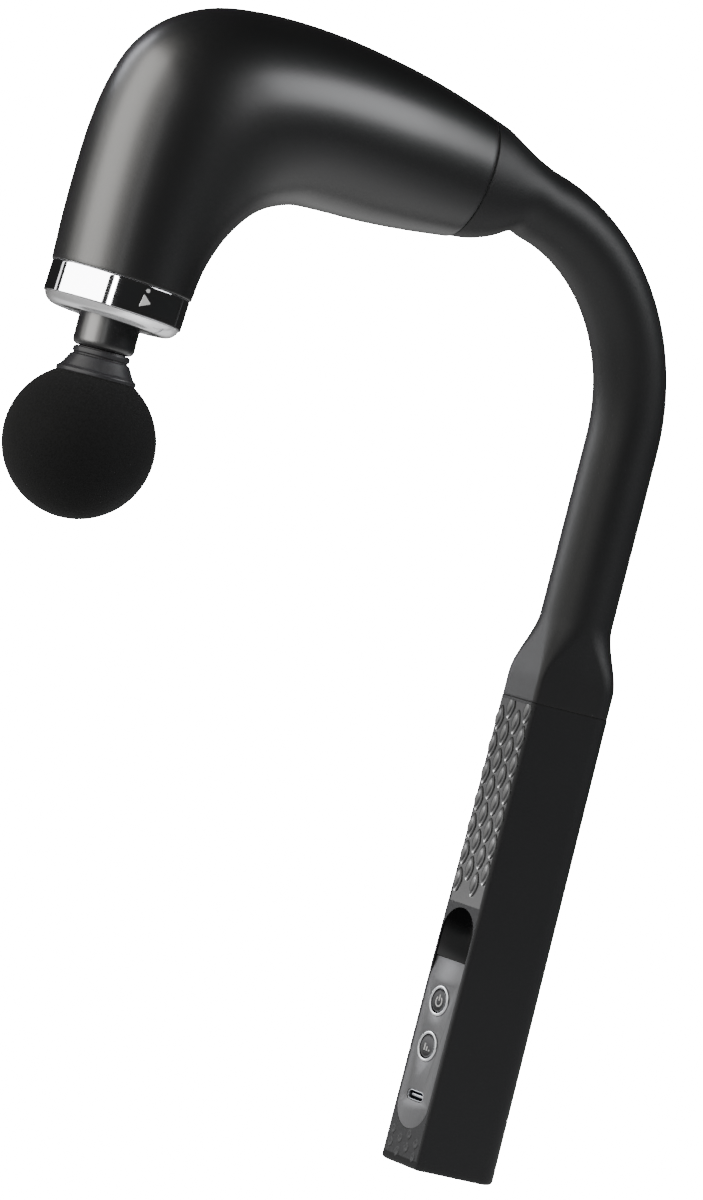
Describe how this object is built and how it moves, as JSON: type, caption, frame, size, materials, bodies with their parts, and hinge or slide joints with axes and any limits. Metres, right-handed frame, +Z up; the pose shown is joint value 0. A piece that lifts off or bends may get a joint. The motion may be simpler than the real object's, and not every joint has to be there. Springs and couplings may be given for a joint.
{
  "type": "massage gun",
  "caption": "Hooked, long-handled massage gun: percussive head with a pull-off foam ball on a bent neck, and a grip with display, buttons and charging socket.",
  "frame": {"origin": "middle of the grip's flat end face", "axes": "+Z up the grip's axis, -X towards the head, the object's two halves mirror in Y = 0"},
  "size_m": [0.242, 0.0484, 0.3465],
  "materials": {
    "head_gloss": "satin gloss black",
    "collar_chrome": "mirror chrome",
    "mark_white": "white inlay",
    "matte_black": "fine matte black",
    "soft_black": "soft-touch black",
    "panel_grey": "satin grey",
    "display_black": "gloss black window",
    "ring_silver": "polished silver",
    "button_black": "satin dark grey",
    "sleeve_black": "gloss black",
    "bronze": "sintered bronze",
    "frame_nylon": "glass-filled nylon",
    "cast_alloy": "cast alloy",
    "steel": "plain steel",
    "copper": "enamelled winding",
    "board_green": "circuit board",
    "cable_red": "cable jacket",
    "display_white": "segment display",
    "cell_blue": "cell in shrink sleeve",
    "stem_grey": "moulded nylon",
    "seal_red": "rubber seal",
    "ball_foam": "fine closed-cell foam"
  },
  "bodies": {
    "housing": {"head_shell": "head_gloss", "nose_collar": "collar_chrome", "lower_ring": "collar_chrome", "collar_mark": "mark_white", "nose_plate": "matte_black", "dust_seal": "soft_black", "nose_bush": "bronze", "motor_frame": "frame_nylon", "damper_pads": "soft_black", "motor_plate": "cast_alloy", "motor_screws": "steel", "motor_stator": "steel", "motor_windings": "copper", "motor_bearings": "steel", "driver_board": "board_green", "neck_socket": "frame_nylon", "socket_screws": "steel", "neck_tube": "cast_alloy", "neck_cover": "soft_black", "neck_pin": "steel", "grip_insert": "frame_nylon", "wiring_harness": "cable_red", "grip_barrel": "matte_black", "texture_pad": "soft_black", "control_panel": "panel_grey", "display_lens": "display_black", "display_module": "display_white", "button_rings": "ring_silver", "tact_switches": "steel", "control_board": "board_green", "charging_port": "steel", "battery_cells": "cell_blue", "cell_holder": "frame_nylon", "cell_links": "steel", "end_cap": "matte_black", "end_cap_screws": "steel"},
    "crank": {"rotor_bell": "steel", "rotor_magnets": "steel", "motor_shaft": "steel", "crank_disc": "cast_alloy", "crank_pin": "steel", "crank_roller": "steel", "crank_clip": "steel"},
    "plunger_unit": {"plunger": "sleeve_black", "yoke": "cast_alloy", "yoke_screw": "steel"},
    "ball_head": {"attachment_stem": "stem_grey", "stem_o_rings": "seal_red", "ball_core": "stem_grey", "ball_foam": "ball_foam"},
    "power_key": {"power_button": "button_black"},
    "mode_key": {"mode_button": "button_black"}
  },
  "joints": [
    {"name": "crank_turn", "type": "hinge", "parent": "housing", "child": "crank", "pos_m": [-0.19, 0, 0.3155], "axis": [1, 0, 0], "range_deg": [-70, 70]},
    {"name": "plunger_slide", "type": "slide", "parent": "housing", "child": "plunger_unit", "axis": [0, 0, 1], "range_m": [-0.005, 0.005]},
    {"name": "ball_head_pull", "type": "slide", "parent": "plunger_unit", "child": "ball_head", "axis": [0, 0, -1], "range_m": [0, 0.028]},
    {"name": "power_press", "type": "slide", "parent": "housing", "child": "power_key", "axis": [1, 0, 0], "range_m": [0, 0.0006], "stiffness_N_per_m": 2000, "springref_m": -0.0004},
    {"name": "mode_press", "type": "slide", "parent": "housing", "child": "mode_key", "axis": [1, 0, 0], "range_m": [0, 0.0006], "stiffness_N_per_m": 2000, "springref_m": -0.0004}
  ],
  "couplings": [
    {"joint": "crank_turn", "follows": "plunger_slide", "rad_per_m": 244.3}
  ]
}
